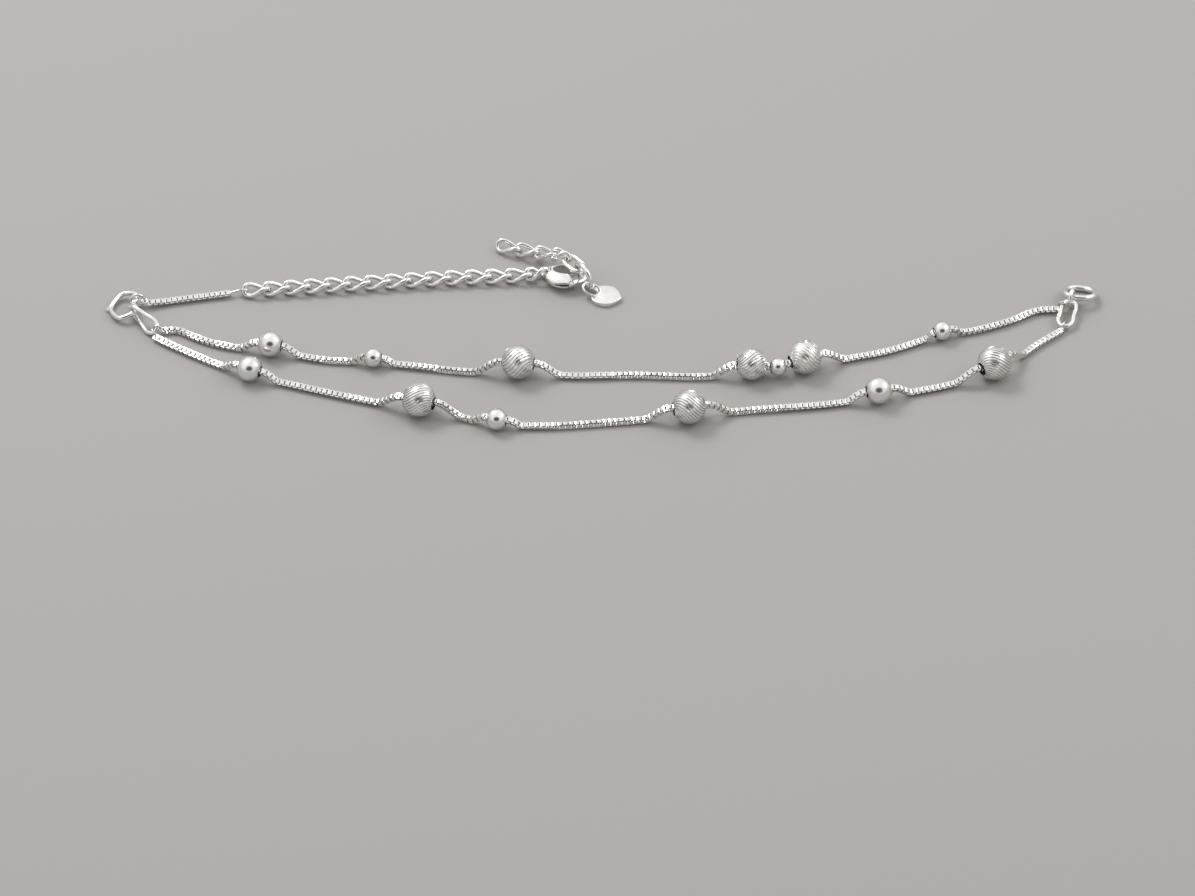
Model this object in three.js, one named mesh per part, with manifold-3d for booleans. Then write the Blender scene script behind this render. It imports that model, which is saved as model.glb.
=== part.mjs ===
// Two-strand silver anklet: beads threaded on box chain, an extension of curb links,
// a lobster clasp and a heart tag. It lies open on a table.
// Millimetres, +Z up, +X along the strands, origin at the middle of its footprint.
import * as THREE from "three";
import { mergeVertices } from "three/addons/utils/BufferGeometryUtils.js";
import Module from "manifold-3d";

const wasm = await Module();
wasm.setup();

const { degToRad, lerp, mapLinear, smoothstep } = THREE.MathUtils;
const point = (x = 0, y = 0, z = 0) => new THREE.Vector3(x, y, z);

const SILVER = { color: 0xd9d9d6, metalness: 1, roughness: 0.22 };
const SATIN_SILVER = { color: 0xe2e2df, metalness: 1, roughness: 0.38 };

// Box chain: a square section with cut corners.
const BOX_SIDE = 1.15;
const BOX_CORNER_CUT = 0.25;
const STRAND_STEPS = 80;
const EXTENSION_BOX_STEPS = 9;

// Beads: balls with a bore that clears the chain all round.
const BORE_GAP = 0.45;
const BORE_RADIUS = Math.hypot(BOX_SIDE / 2, BOX_SIDE / 2 - BOX_CORNER_CUT) + BORE_GAP;
const BEAD_SEGMENTS = 14;
const BEAD_ARC_STEPS = 8;

// Where the chain comes out of a bead it stays level a little way, then sinks to the table.
// Between two beads that all but touch it runs straight from one to the other.
const LEVEL_PAST_MOUTH = 0.5;
const RUN_PER_DROP = 2.0;
const ALL_BUT_TOUCHING = 1.0;
const LYING_HEIGHT = BOX_SIDE / 2 + 0.03;

// Strands: where each lies on the table, from its left end, and the beads threaded on it.
// A bead rests on the table unless its row gives the height at which its neighbours hold it.
const BACK_STRAND = [
  { x: -79.45, y: 0.75 },
  { x: -76.6, y: 0.9 },
  { x: -72.4, y: -1.5 },
  { x: -67.0, y: -3.6 },
  { x: -59.5, y: -4.8, bead: "back_bead_1", diameter: 4.6 },
  { x: -50.0, y: -7.2 },
  { x: -41.0, y: -7.9, bead: "back_bead_2", diameter: 3.5 },
  { x: -31.0, y: -9.4 },
  { x: -24.5, y: -10.4 },
  { x: -15.1, y: -10.6, bead: "back_bead_3", diameter: 6.1 },
  { x: -6.0, y: -11.6 },
  { x: 6.0, y: -11.4 },
  { x: 17.5, y: -11.8 },
  { x: 26.4, y: -10.9, bead: "back_bead_4", diameter: 5.7 },
  { x: 31.1, y: -11.0, bead: "back_bead_5", diameter: 3.3, height: 2.3 },
  { x: 35.9, y: -9.2, bead: "back_bead_6", diameter: 6.1 },
  { x: 44.0, y: -6.9 },
  { x: 51.0, y: -4.9 },
  { x: 60.9, y: -0.5, bead: "back_bead_7", diameter: 3.5 },
  { x: 66.5, y: 0.7 },
  { x: 73.0, y: 3.2 },
  { x: 78.6, y: 6.3 },
  { x: 82.3, y: 6.7 },
];
const FRONT_STRAND = [
  { x: -80.6, y: -0.9 },
  { x: -78.6, y: -2.4 },
  { x: -70.0, y: -7.8 },
  { x: -62.8, y: -11.5, bead: "front_bead_1", diameter: 4.6 },
  { x: -56.0, y: -13.8 },
  { x: -41.5, y: -18.4 },
  { x: -32.4, y: -20.7, bead: "front_bead_2", diameter: 6.1 },
  { x: -25.0, y: -22.7 },
  { x: -18.7, y: -24.6, bead: "front_bead_3", diameter: 3.9 },
  { x: -9.7, y: -25.0 },
  { x: 6.5, y: -23.4 },
  { x: 15.1, y: -22.6, bead: "front_bead_4", diameter: 6.1 },
  { x: 24.5, y: -21.0 },
  { x: 39.0, y: -19.4 },
  { x: 48.7, y: -17.5, bead: "front_bead_5", diameter: 4.9 },
  { x: 54.5, y: -16.1 },
  { x: 60.5, y: -14.4 },
  { x: 69.5, y: -10.9, bead: "front_bead_6", diameter: 6.1 },
  { x: 78.0, y: -3.0 },
  { x: 82.75, y: 1.0 },
];

// Curb links: oval wire loops turned half a right angle each way, so that the chain lies flat.
const CURB_WIRE = 0.82;
const CURB_PITCH = 3.67;
const CURB_GAP = 0.12;
const CURB_LENGTH = CURB_PITCH + CURB_WIRE + CURB_GAP;
const CURB_WIDTH = 2.22;
const CURB_TWIST = 45;
const CURB_MID_HEIGHT = (CURB_WIDTH / 2) * Math.sin(degToRad(CURB_TWIST)) + CURB_WIRE / 2;
const CURB_LINKS = 15;

// Clasp: a lobster claw with an eye at its tail, a spring lever on its front side
// and a pin through its shoulder. Sizes along X are from the eye, and its middle plane is level.
const CLASP_EYE = { x: -9.5, y: 15.8, outside: 1.3, hole: 0.75, thickness: 0.7, slack: 0.2, lift: 0.1 };
const CLASP_TURN = -12;
const CLASP_MID_HEIGHT = 1.8;
const CLAW = { x: 4.3, outsideX: 3.25, outsideY: 2.6, thickness: 1.2 };
const CLAW_OPENING = { x: 4.55, radiusX: 2.2, radiusY: 1.65 };
const MOUTH = { top: -0.7, tipX: 5.5, slant: 0.5 };
const NECK = { startX: -0.2, startHalf: 0.9, endX: 2.6, endHalf: 1.9 };
const SHOULDER = { x: 2.35, y: -0.3, radiusX: 1.6, radiusY: 2.0, thickness: 2.2 };
const PIVOT = { x: 2.4, y: -1.2, pin: 0.35, hub: 0.9, slot: 1.4 };
const LEVER = { thickness: 0.9, gap: 0.25 };
const THUMB = { x: 3.5, y: -2.7, radius: 0.55 };

// Heart tag: a flat plate on the table with a long soldered eye that reaches up to the hook ring.
const TAG = { x: 0.8, y: 10.6, length: 5.5, width: 5.3, thickness: 0.9, turn: -16 };
const TAG_EYE = { reach: 4.6, root: 1.3, width: 2.1, wire: 0.5, height: 1.47, rise: 22, twist: 20 };

// Hearts: how far from the middle their lobes peak, as a share of the half width, and how deep the
// cleft is, as a share of the length.
const LOBE = { peak: 0.45, cleft: 0.17 };

// Open heart loop: bent wire whose tip is on the table and whose lobes are lifted by the links in them.
const HEART = { x: -87.0, y: 7.2, length: 5.5, width: 6.8, wire: 0.95, lift: 14.5 };

// Wire loops by the start and end of their middle lines.
// The twists turn the two ends about the loop's length.
const THIN_WIRE = 0.7;
const ROUND_WIRE = 0.75;
const HOOK_WIRE = 0.9;
const HEAVY_WIRE = 1.15;
const LOOPS = [
  { name: "left_link", start: [-85.3, 5.65, 1.9], end: [-80.4, 0.2, 1.2], width: 2.5, twists: [100, 40] },
  {
    name: "right_link",
    start: [83.0, 1.8, 0.8],
    end: [84.68, 7.88, 1.75],
    width: 2.6,
    wire: ROUND_WIRE,
    twists: [0, 0],
  },
  {
    name: "end_ring",
    start: [83.9, 11.0, 1.32],
    end: [89.2, 10.2, 1.32],
    width: 4.8,
    wire: HEAVY_WIRE,
    twists: [-18, -18],
  },
  { name: "free_link_1", start: [-19.4, 24.6, 1.15], end: [-15.15, 22.95, 1.3], twists: [45, -45] },
  { name: "free_link_2", start: [-15.95, 23.29, 1.18], end: [-11.75, 21.5, 1.8], twists: [45, -45] },
  { name: "free_link_3", start: [-12.55, 21.9, 1.55], end: [-8.6, 19.8, 2.78], twists: [45, -34] },
  { name: "free_link_4", start: [-9.29, 20.39, 2.47], end: [-6.05, 17.52, 3.81], twists: [58, -88] },
  { name: "free_link_5", start: [-6.65, 18.2, 3.4], end: [-4.0, 14.53, 3.47], twists: [0, 0] },
];

// Round rings that stand up: the turn is the way their plane faces in plan, the lean tips them over.
const RINGS = [
  { name: "hook_ring", centre: [-3.3, 13.3, 2.93], radius: 2.5, wire: HOOK_WIRE, turn: -60, lean: -9 },
  { name: "heart_jump_ring", centre: [-84.3, 8.3, 1.55], radius: 1.25, wire: 0.6, turn: 6, lean: 0 },
  { name: "right_jump_ring", centre: [84.85, 8.45, 1.85], radius: 1.5, wire: THIN_WIRE, turn: 73, lean: 0 },
];

// Wire is swept with few sides, because it is thin.
const WIRE_SIDES = 6;
const LINK_STEPS = 18;
const RING_STEPS = 20;
const HEART_STEPS = 28;

// Half the length of a bead's bore.
function boreHalf(radius) {
  return Math.sqrt(radius ** 2 - BORE_RADIUS ** 2);
}

// The middle line of a wire loop: an oval along X whose two ends are turned about X by their own angles.
class TwistedOval extends THREE.Curve {
  constructor(length, width, [startTwist, endTwist]) {
    super();
    Object.assign(this, { length, width, startTwist, endTwist });
  }
  getPoint(t, target = point()) {
    const turn = 2 * Math.PI * t;
    const straight = (this.length - this.width) / 2;
    const fullness = 2.5;
    const bulge = Math.tanh(fullness * Math.cos(turn)) / Math.tanh(fullness);
    const x = (this.width / 2) * Math.cos(turn) + straight * bulge;
    const side = (this.width / 2) * Math.sin(turn);
    const twist = degToRad(lerp(this.startTwist, this.endTwist, smoothstep(x, -straight, straight)));
    return target.set(x, side * Math.cos(twist), side * Math.sin(twist));
  }
}

// The outline of a full, rounded heart, centred on the origin and drawn from its cleft. Its two lobes
// are at +X. From its widest place, at the middle, its sides run in parabolas to the tip at -X.
class HeartLine extends THREE.Curve {
  constructor(length, width) {
    super();
    Object.assign(this, { length, width });
  }
  getPoint(t, target = point()) {
    const quarter = 4 * Math.min(t, 1 - t);
    const side = t < 0.5 ? 1 : -1;
    const toTip = Math.max(quarter - 1, 0);
    const across = toTip > 0 ? 1 - toTip ** 2 : Math.sin((Math.PI / 2) * quarter);
    const along = toTip > 0 ? -toTip / 2 : this.lobeAt(across);
    return target.set(this.length * along, side * (this.width / 2) * across, 0);
  }
  lobeAt(across) {
    if (across < LOBE.peak) return 0.5 - LOBE.cleft * (1 - across / LOBE.peak) ** 2;
    return 0.5 * Math.sqrt(1 - ((across - LOBE.peak) / (1 - LOBE.peak)) ** 2);
  }
}

// A strand's route: its plan is a smooth line through the table's rows, and its height follows the beads.
class StrandRoute extends THREE.Curve {
  constructor(rows) {
    super();
    const divisions = 40;
    this.plan = new THREE.CatmullRomCurve3(rows.map((row) => point(row.x, row.y)), false, "centripetal");
    this.plan.arcLengthDivisions = divisions * (rows.length - 1);
    const lengths = this.plan.getLengths();
    this.span = lengths.at(-1);
    this.holds = rows.flatMap((row, i) => {
      const radius = row.diameter / 2;
      return row.bead ? [{ row, radius, at: lengths[i * divisions], height: row.height ?? radius }] : [];
    });
  }
  heightAt(distance) {
    let height = LYING_HEIGHT;
    for (const [i, hold] of this.holds.entries()) {
      const next = this.holds[i + 1];
      const close = next && next.at - hold.at < hold.radius + next.radius + ALL_BUT_TOUCHING;
      if (close && distance >= hold.at && distance <= next.at) {
        return mapLinear(distance, hold.at, next.at, hold.height, next.height);
      }
      const level = boreHalf(hold.radius) + LEVEL_PAST_MOUTH;
      const run = RUN_PER_DROP * (hold.height - LYING_HEIGHT);
      const sunk = smoothstep(Math.abs(distance - hold.at), level, level + run);
      height = Math.max(height, lerp(hold.height, LYING_HEIGHT, sunk));
    }
    return height;
  }
  getPoint(t, target = point()) {
    this.plan.getPointAt(t, target);
    return target.setZ(this.heightAt(t * this.span));
  }
}

const anklet = new THREE.Group();

function addPiece(name, geometry, look, parent = anklet) {
  const mesh = new THREE.Mesh(geometry, new THREE.MeshStandardMaterial(look));
  mesh.name = name;
  parent.add(mesh);
  return mesh;
}

function wireTube(curve, wire, steps = LINK_STEPS) {
  return new THREE.TubeGeometry(curve, steps, wire / 2, WIRE_SIDES, true);
}

// Turns and moves a piece so that its axes lie along the given directions at the given place.
function setFrame(piece, x, y, z, place) {
  piece.quaternion.setFromRotationMatrix(new THREE.Matrix4().makeBasis(x, y, z));
  piece.position.copy(place);
}

// A wire loop laid from one point to another, its own Z axis as upright as it can be.
function addLoop({ name, start, end, width = CURB_WIDTH, wire = THIN_WIRE, twists }) {
  const from = point(...start);
  const to = point(...end);
  const x = to.clone().sub(from).normalize();
  const y = point(0, 0, 1).cross(x).normalize();
  const loop = addPiece(name, wireTube(new TwistedOval(from.distanceTo(to), width, twists), wire), SILVER);
  setFrame(loop, x, y, x.clone().cross(y), from.lerp(to, 0.5));
}

function addRing({ name, centre, radius, wire, turn, lean }) {
  const ring = addPiece(name, new THREE.TorusGeometry(radius, wire / 2, WIRE_SIDES, RING_STEPS), SILVER);
  const across = point(Math.cos(degToRad(turn)), Math.sin(degToRad(turn)), 0);
  const upright = point(0, 0, 1).applyAxisAngle(across, -degToRad(lean));
  setFrame(ring, across, upright, across.clone().cross(upright), point(...centre));
}

function addBoxChain(name, route, steps) {
  const half = BOX_SIDE / 2;
  const flat = half - BOX_CORNER_CUT;
  const section = polygon([
    [half, -flat],
    [half, flat],
    [flat, half],
    [-flat, half],
    [-half, flat],
    [-half, -flat],
    [-flat, -half],
    [flat, -half],
  ]);
  const options = { steps, bevelEnabled: false, extrudePath: route };
  addPiece(name, new THREE.ExtrudeGeometry(section, options), SATIN_SILVER);
}

function polygon(corners) {
  return new THREE.Shape(corners.map(([x, y]) => new THREE.Vector2(x, y)));
}

// A ball turned round its bore: the profile runs up the outside and back down the bore.
function beadGeometry(radius) {
  const mouth = Math.asin(BORE_RADIUS / radius);
  const profile = [];
  for (let i = 0; i <= BEAD_ARC_STEPS; i++) {
    const angle = mapLinear(i, 0, BEAD_ARC_STEPS, Math.PI - mouth, mouth);
    profile.push(new THREE.Vector2(radius * Math.sin(angle), radius * Math.cos(angle)));
  }
  profile.push(profile[0].clone());
  return new THREE.LatheGeometry(profile, BEAD_SEGMENTS);
}

function addStrand(name, rows) {
  const route = new StrandRoute(rows);
  addBoxChain(name, route, STRAND_STEPS);
  for (const { row, at, radius } of route.holds) {
    const half = boreHalf(radius);
    const [into, out] = [at - half, at + half].map((distance) => route.getPoint(distance / route.span));
    const bead = addPiece(row.bead, beadGeometry(radius), SATIN_SILVER);
    bead.position.copy(route.getPoint(at / route.span));
    bead.quaternion.setFromUnitVectors(point(0, 1, 0), out.sub(into).normalize());
  }
}

// Closed solids for joining and cutting, and back to a mesh.
function solidFrom(geometry) {
  const loose = geometry.index ? geometry.toNonIndexed() : geometry;
  const bare = new THREE.BufferGeometry().setAttribute("position", loose.getAttribute("position"));
  const merged = mergeVertices(bare, 1e-4);
  const vertProperties = merged.getAttribute("position").array;
  const triVerts = new Uint32Array(merged.index.array);
  return new wasm.Manifold(new wasm.Mesh({ numProp: 3, vertProperties, triVerts }));
}

function geometryFrom(solid) {
  const { vertProperties, triVerts } = solid.getMesh();
  const geometry = new THREE.BufferGeometry();
  geometry.setAttribute("position", new THREE.BufferAttribute(new Float32Array(vertProperties), 3));
  geometry.setIndex(new THREE.BufferAttribute(new Uint32Array(triVerts), 1));
  geometry.computeVertexNormals();
  return geometry;
}

function disc(x, y, radiusX, radiusY = radiusX) {
  return new THREE.Shape().absellipse(x, y, radiusX, radiusY, 0, 2 * Math.PI, false, 0);
}

// A flat shape made into a solid that is centred on the plane it is drawn in.
function plate(shape, thickness, curveSegments = 20) {
  const options = { depth: thickness, bevelEnabled: false, curveSegments };
  const geometry = new THREE.ExtrudeGeometry(shape, options);
  return solidFrom(geometry.translate(0, 0, -thickness / 2));
}

addStrand("back_strand_chain", BACK_STRAND);
addStrand("front_strand_chain", FRONT_STRAND);
LOOPS.forEach(addLoop);
RINGS.forEach(addRing);

// The extension's box chain runs from the heart loop's jump ring to the first curb link.
const boxRoute = new THREE.CatmullRomCurve3([
  point(-82.5, 8.0, 1.0),
  point(-78.0, 9.1, LYING_HEIGHT + 0.07),
  point(-70.0, 10.7, LYING_HEIGHT + 0.07),
  point(-66.0, 11.4, 1.0),
]);
addBoxChain("extension_box_chain", boxRoute, EXTENSION_BOX_STEPS);

// Curb links at an even pitch along a slow bend; the last one stands up to pass through the clasp's eye.
const curbRoute = new THREE.CatmullRomCurve3([
  point(-65.24, 11.5, CURB_MID_HEIGHT),
  point(-46.5, 13.3, CURB_MID_HEIGHT),
  point(-28.0, 15.0, CURB_MID_HEIGHT),
  point(-14.0, 15.7, CURB_MID_HEIGHT + 0.05),
  point(CLASP_EYE.x + CLASP_EYE.slack, CLASP_EYE.y, CLASP_MID_HEIGHT + CLASP_EYE.lift),
]);
const curbSpan = curbRoute.getLength();
for (let i = 0; i < CURB_LINKS; i++) {
  const begin = (i * CURB_PITCH) / curbSpan;
  const finish = Math.min(begin + CURB_LENGTH / curbSpan, 1);
  addLoop({
    name: `curb_link_${i + 1}`,
    start: curbRoute.getPointAt(begin).toArray(),
    end: curbRoute.getPointAt(finish).toArray(),
    twists: [CURB_TWIST, i === CURB_LINKS - 1 ? -90 : -CURB_TWIST],
    wire: CURB_WIRE,
  });
}

// The claw is an oval band. The part of it in front, from the pivot to the hook's tip, is the lever.
const clasp = new THREE.Group();
clasp.position.set(CLASP_EYE.x, CLASP_EYE.y, CLASP_MID_HEIGHT);
clasp.rotation.z = degToRad(CLASP_TURN);
anklet.add(clasp);

const ANY_THICKNESS = 4;
const slotThickness = LEVER.thickness + 2 * LEVER.gap;
const opening = plate(disc(CLAW_OPENING.x, 0, CLAW_OPENING.radiusX, CLAW_OPENING.radiusY), ANY_THICKNESS);

function band(thickness) {
  return plate(disc(CLAW.x, 0, CLAW.outsideX, CLAW.outsideY), thickness).subtract(opening);
}

function frontOf(tipX, thickness) {
  const farFront = -CLAW.outsideY - 1;
  const corners = [
    [PIVOT.x, farFront],
    [tipX - MOUTH.slant, farFront],
    [tipX, MOUTH.top],
    [PIVOT.x, MOUTH.top],
  ];
  return plate(polygon(corners), thickness);
}

const neckShape = polygon([
  [NECK.startX, -NECK.startHalf],
  [NECK.endX, -NECK.endHalf],
  [NECK.endX, NECK.endHalf],
  [NECK.startX, NECK.startHalf],
]);
const shoulderShape = disc(SHOULDER.x, SHOULDER.y, SHOULDER.radiusX, SHOULDER.radiusY);
const claspBody = band(CLAW.thickness)
  .subtract(frontOf(MOUTH.tipX, ANY_THICKNESS))
  .add(plate(disc(0, 0, CLASP_EYE.outside), CLASP_EYE.thickness))
  .add(plate(neckShape, CLASP_EYE.thickness).subtract(opening))
  .add(plate(shoulderShape, SHOULDER.thickness).subtract(opening))
  .subtract(plate(disc(PIVOT.x, PIVOT.y, PIVOT.slot), slotThickness))
  .subtract(frontOf(MOUTH.tipX, slotThickness))
  .subtract(plate(disc(0, 0, CLASP_EYE.hole), ANY_THICKNESS))
  .add(plate(disc(PIVOT.x, PIVOT.y, PIVOT.pin), SHOULDER.thickness - 0.1, 10));
addPiece("clasp_body", geometryFrom(claspBody), SILVER, clasp);

const claspLever = band(LEVER.thickness)
  .intersect(frontOf(MOUTH.tipX - LEVER.gap, ANY_THICKNESS))
  .add(plate(disc(PIVOT.x, PIVOT.y, PIVOT.hub), LEVER.thickness))
  .add(plate(disc(THUMB.x, THUMB.y, THUMB.radius), LEVER.thickness))
  .subtract(plate(disc(PIVOT.x, PIVOT.y, PIVOT.pin + LEVER.gap), ANY_THICKNESS, 10));
addPiece("clasp_lever", geometryFrom(claspLever), SILVER, clasp);

// Heart tag, with its tip at +X before it is turned.
const tagOutline = new HeartLine(TAG.length, TAG.width).getPoints(HEART_STEPS).slice(1);
const tagShape = polygon(tagOutline.map(({ x, y }) => [-x, -y]));
const tagEyeTwists = [TAG_EYE.twist, TAG_EYE.twist];
const tagEyeLine = new TwistedOval(TAG_EYE.reach - TAG_EYE.root, TAG_EYE.width, tagEyeTwists);
const tagEye = wireTube(tagEyeLine, TAG_EYE.wire)
  .rotateY(degToRad(TAG_EYE.rise))
  .translate(-(TAG_EYE.reach + TAG_EYE.root) / 2, 0, TAG_EYE.height);
const tagSolid = plate(tagShape, TAG.thickness).translate(0, 0, TAG.thickness / 2).add(solidFrom(tagEye));
const tag = addPiece("heart_tag", geometryFrom(tagSolid), SATIN_SILVER);
tag.position.set(TAG.x, TAG.y, 0);
tag.rotation.z = degToRad(TAG.turn);

const heart = addPiece(
  "heart_loop",
  wireTube(new HeartLine(HEART.length, HEART.width), HEART.wire, HEART_STEPS),
  SILVER,
);
const heartRise = (HEART.length / 2) * Math.sin(degToRad(HEART.lift));
heart.position.set(HEART.x, HEART.y, HEART.wire / 2 + heartRise);
heart.rotation.y = -degToRad(HEART.lift);

// Moves the whole anklet so that the origin is at the middle of its footprint, on the table.
const bounds = new THREE.Box3().setFromObject(anklet, true);
const footprintMiddle = bounds.getCenter(point()).setZ(bounds.min.z);
anklet.children.forEach((piece) => piece.position.sub(footprintMiddle));

export default anklet;
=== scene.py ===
import math

import bpy
from mathutils import Matrix, Vector
from mathutils.geometry import interpolate_bezier


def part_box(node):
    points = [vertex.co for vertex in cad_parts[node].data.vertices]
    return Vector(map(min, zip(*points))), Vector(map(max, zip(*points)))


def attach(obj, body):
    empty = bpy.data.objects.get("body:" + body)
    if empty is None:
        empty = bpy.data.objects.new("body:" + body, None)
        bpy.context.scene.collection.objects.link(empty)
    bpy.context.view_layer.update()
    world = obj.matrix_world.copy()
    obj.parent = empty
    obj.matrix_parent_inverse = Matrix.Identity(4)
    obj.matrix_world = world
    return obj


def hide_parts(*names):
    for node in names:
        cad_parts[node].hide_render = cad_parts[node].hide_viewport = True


# A two-strand silver anklet that lies open: beads on box chain, a curb chain, a lobster clasp and a tag.
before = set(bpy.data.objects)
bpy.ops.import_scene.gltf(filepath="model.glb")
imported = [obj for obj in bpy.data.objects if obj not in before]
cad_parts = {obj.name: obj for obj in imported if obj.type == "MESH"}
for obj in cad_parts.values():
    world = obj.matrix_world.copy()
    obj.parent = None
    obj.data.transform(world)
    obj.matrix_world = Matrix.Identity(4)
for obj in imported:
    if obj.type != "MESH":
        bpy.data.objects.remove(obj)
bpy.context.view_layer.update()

MM = 0.001
UP = Vector((0, 0, 1))

# Faces that meet at less than this, in degrees, are shaded as one smooth surface.
SMOOTH_BELOW = 35

# Places in the tables below are in millimetres as the anklet was laid out. The first front bead gives
# the shift from there to the frame.
FIRST_FRONT_BEAD = Vector((-62.8, -11.5, 0))

# Box chain: each link is a flat strip bent into a square loop, and every second one is turned a quarter.
CHAIN_SIDE = 1.15
STRIP_THICKNESS = 0.18
STRIP_WIDTH = 0.74
LINK_PITCH = 0.5
LINK_LENGTH = LINK_PITCH + 2 * STRIP_THICKNESS
STRIP_CORNER = 0.16
STRIP_CORNER_STEPS = 2

# A strand lies on the table, climbs to each bead's bore and is level from just outside its mouths. Where
# two beads all but touch, it runs straight from one to the other.
CHAIN_LYING = CHAIN_SIDE / 2 + 0.03
CAD_BORE_RADIUS = 1.11
LEVEL_PAST_MOUTH = 0.5
RUN_PER_DROP = 2.0
ALL_BUT_TOUCHING = 1.0
LINE_STEPS = 24
STEPS_BESIDE_BEAD = 6

# Where each strand lies, from its left end: a bead's name, or a place between beads.
BACK_ROWS = [
    (-79.45, 0.75), (-76.6, 0.9), (-72.4, -1.5), (-67.0, -3.6), "back_bead_1",
    (-50.0, -7.2), "back_bead_2", (-31.0, -9.4), (-24.5, -10.4), "back_bead_3",
    (-6.0, -11.6), (6.0, -11.4), (17.5, -11.8), "back_bead_4", "back_bead_5", "back_bead_6",
    (44.0, -6.9), (51.0, -4.9), "back_bead_7", (66.5, 0.7), (73.0, 3.2), (78.6, 6.3), (82.3, 6.7),
]
FRONT_ROWS = [
    (-80.6, -0.9), (-78.6, -2.4), (-70.0, -7.8), "front_bead_1", (-56.0, -13.8), (-41.5, -18.4),
    "front_bead_2", (-25.0, -22.7), "front_bead_3", (-9.7, -25.0), (6.5, -23.4), "front_bead_4",
    (24.5, -21.0), (39.0, -19.4), "front_bead_5", (54.5, -16.1), (60.5, -14.4), "front_bead_6",
    (78.0, -3.0), (82.75, 1.0),
]
EXTENSION_ROWS = [(-82.5, 8.0, 1.0), (-78.0, 9.1, 0.68), (-70.0, 10.7, 0.68), (-67.6, 11.1, 0.85)]

# How far the chain is rolled about its length, in degrees, at places along X. It also wanders a little.
BACK_ROLLS = [
    (-80, 0), (-66, 8), (-58, 8), (-56, 28), (-53, 26), (-48, 5), (-42, 0), (-38, 28), (-34, 24),
    (-28, 0), (-18, 0), (-11, 22), (-8, 28), (0, 26), (3, 8), (20, 0), (34, 20), (38, 28), (52, 26),
    (59, 28), (64, 8), (72, 20), (80, 26),
]
FRONT_ROLLS = [
    (-81, 12), (-66, 8), (-60, 28), (-54, 28), (-48, 26), (-40, 14), (-29, 8), (-21, 0), (-17, 28),
    (-12, 20), (-6, 0), (12, 8), (18, 0), (30, 8), (36, 28), (46, 28), (52, 20), (56, 28), (66, 20),
    (74, 0), (83, 0),
]
EXTENSION_ROLLS = [(-83, 26), (-68, 22)]
ROLL_WANDER = 4.0
WANDER_LENGTH = 5.3

# Beads: a bore that just clears the chain. The large ones are cut with grooves that wind round them by so
# many degrees, and the yaw turns a mouth towards the front.
BORE_RADIUS = 0.95
WIDE_BORE_RADIUS = 1.1
LARGE_BEADS = [
    {"name": "back_bead_3", "grooves": 19, "wind": -135, "yaw": -6},
    {"name": "back_bead_4", "grooves": 25, "wind": -90, "yaw": 0},
    {"name": "back_bead_6", "grooves": 18, "wind": 170, "yaw": 5},
    {"name": "front_bead_2", "grooves": 28, "wind": -100, "yaw": -8},
    {"name": "front_bead_4", "grooves": 24, "wind": 130, "yaw": 5},
    {"name": "front_bead_6", "grooves": 24, "wind": 120, "yaw": 1},
]
SATIN_BEADS = ["back_bead_1", "front_bead_1", "front_bead_5"]
POLISHED_BEADS = ["back_bead_2", "back_bead_5", "back_bead_7", "front_bead_3"]
BALL_SEGMENTS = 72
BALL_RINGS = 48
BORE_CUTS = 16

# Grooves stop at a plain rim, given in bore radii, and only points past the outer share are pressed in.
GROOVE_DEPTH = 0.08
MERIDIANS_PER_GROOVE = 5
PLAIN_RIM = 1.15
OUTER_SHARE = 0.95
CUT_BALL_RINGS = 56

# Wire loops by the start and end of their middle lines. The twists turn the two ends about the length.
FREE = {"width": 2.15, "wire": 0.8}
LOOPS = [
    {"name": "left_link", "start": (-85.3, 5.65, 1.9), "end": (-80.4, 0.2, 1.24), "twists": (100, 40),
     "width": 2.3, "wire": 0.86},
    {"name": "right_link", "start": (83.0, 1.8, 0.95), "end": (84.63, 7.73, 1.75), "twists": (0, 0),
     "width": 2.5, "wire": 0.88},
    {"name": "end_ring", "start": (83.9, 11.0, 1.32), "end": (89.2, 10.2, 1.32), "twists": (-18, -18),
     "width": 4.8, "wire": 1.15},
    {"name": "free_link_1", "start": (-19.4, 24.6, 1.15), "end": (-15.15, 22.95, 1.3), "twists": (45, -45),
     **FREE},
    {"name": "free_link_2", "start": (-15.95, 23.29, 1.18), "end": (-11.75, 21.5, 1.8), "twists": (45, -45),
     **FREE},
    {"name": "free_link_3", "start": (-12.55, 21.9, 1.55), "end": (-8.6, 19.8, 2.78), "twists": (45, -34),
     **FREE},
    {"name": "free_link_4", "start": (-9.29, 20.39, 2.47), "end": (-6.05, 17.52, 3.81), "twists": (58, -98),
     **FREE},
    {"name": "free_link_5", "start": (-6.65, 18.2, 3.4), "end": (-3.9, 14.39, 3.5), "twists": (0, 0),
     "width": 2.6, "wire": 0.94},
]

# Curb chain: the line that its links lie along, and how the last one ends in the clasp's eye.
CURB = {"width": 2.22, "wire": 0.88}
CURB_ROWS = [
    (-65.24, 11.5, 1.23), (-46.5, 13.3, 1.23), (-28.0, 15.0, 1.25), (-14.0, 15.7, 1.34), (-9.3, 15.8, 1.9),
]
CURB_PITCH = 3.67
CURB_LENGTH = 4.61
CURB_LINKS = 15
CURB_TWIST = 45
CURB_STEPS = 60
LAST_CURB_LINK = {"past_hole": 0.1, "above": 0.1, "twist": -90}

# Wire: how finely loops, rings and eyes are rounded. Points of a loop off its middle are drawn out.
WIRE_ROUNDNESS = 4
EYE_ROUNDNESS = 3
LOOP_STEPS = 10
OFF_MIDDLE = 0.1
RING_STEPS = 16
EYE_STEPS = 32

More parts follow.
